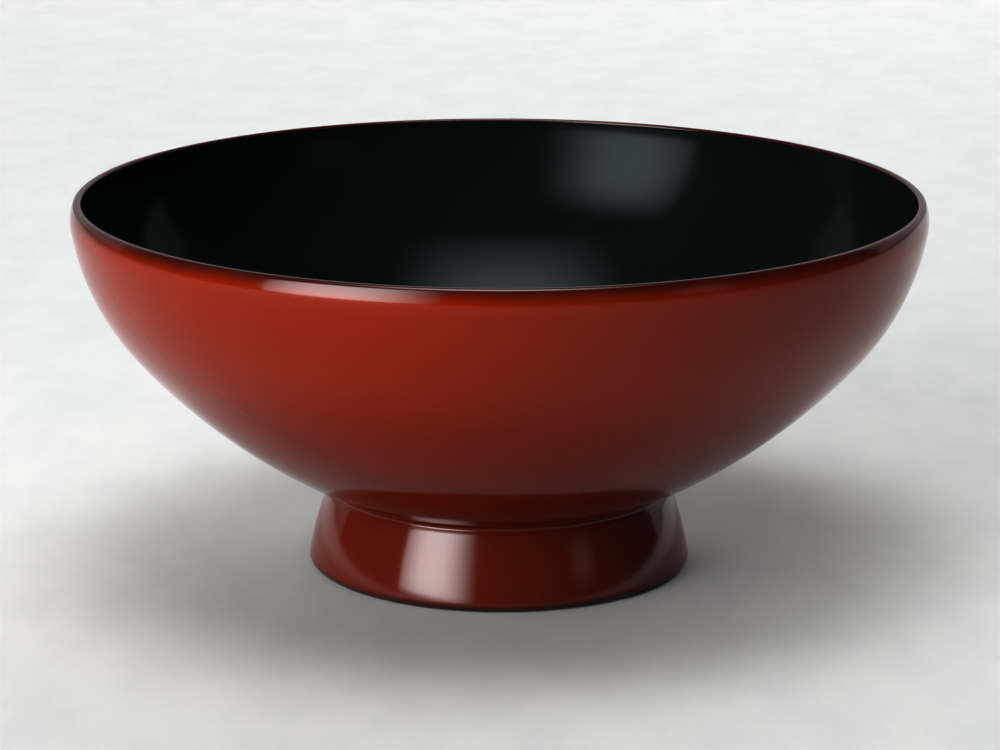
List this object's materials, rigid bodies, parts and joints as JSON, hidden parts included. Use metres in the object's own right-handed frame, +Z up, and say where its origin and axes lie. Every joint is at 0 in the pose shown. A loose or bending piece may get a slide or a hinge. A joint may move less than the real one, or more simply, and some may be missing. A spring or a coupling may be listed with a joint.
{
  "type": "lacquered wooden bowl",
  "caption": "Round turned bowl on a tall foot ring, glossy red lacquer outside and black inside, over cloth-bound wood with a spigot joint.",
  "frame": {"origin": "middle of the circle that the foot stands on, at the level of the table", "axes": "+Z up along the axis that the bowl is turned about; X and Y level, alike in every direction"},
  "size_m": [0.18, 0.18, 0.0795],
  "materials": {
    "turned_wood": "bare turned wood, sanded, hidden under the lacquer",
    "binding_cloth": "plain-woven hemp soaked in lacquer, hidden",
    "clay_ground": "matt lacquer and clay, rubbed flat, hidden",
    "red_lacquer": "deep glossy red lacquer",
    "black_lacquer": "glossy black lacquer with a faint soft bloom"
  },
  "bodies": {
    "root": {"cup_core": "turned_wood", "foot_ring_core": "turned_wood", "lip_cloth": "binding_cloth", "floor_cloth": "binding_cloth", "foot_cloth": "binding_cloth", "cup_ground_outside": "clay_ground", "cup_ground_inside": "clay_ground", "foot_ground_outside": "clay_ground", "foot_ground_underside": "clay_ground", "cup_red_lacquer": "red_lacquer", "foot_red_lacquer": "red_lacquer", "cup_black_lacquer": "black_lacquer", "foot_black_lacquer": "black_lacquer"}
  },
  "joints": []
}
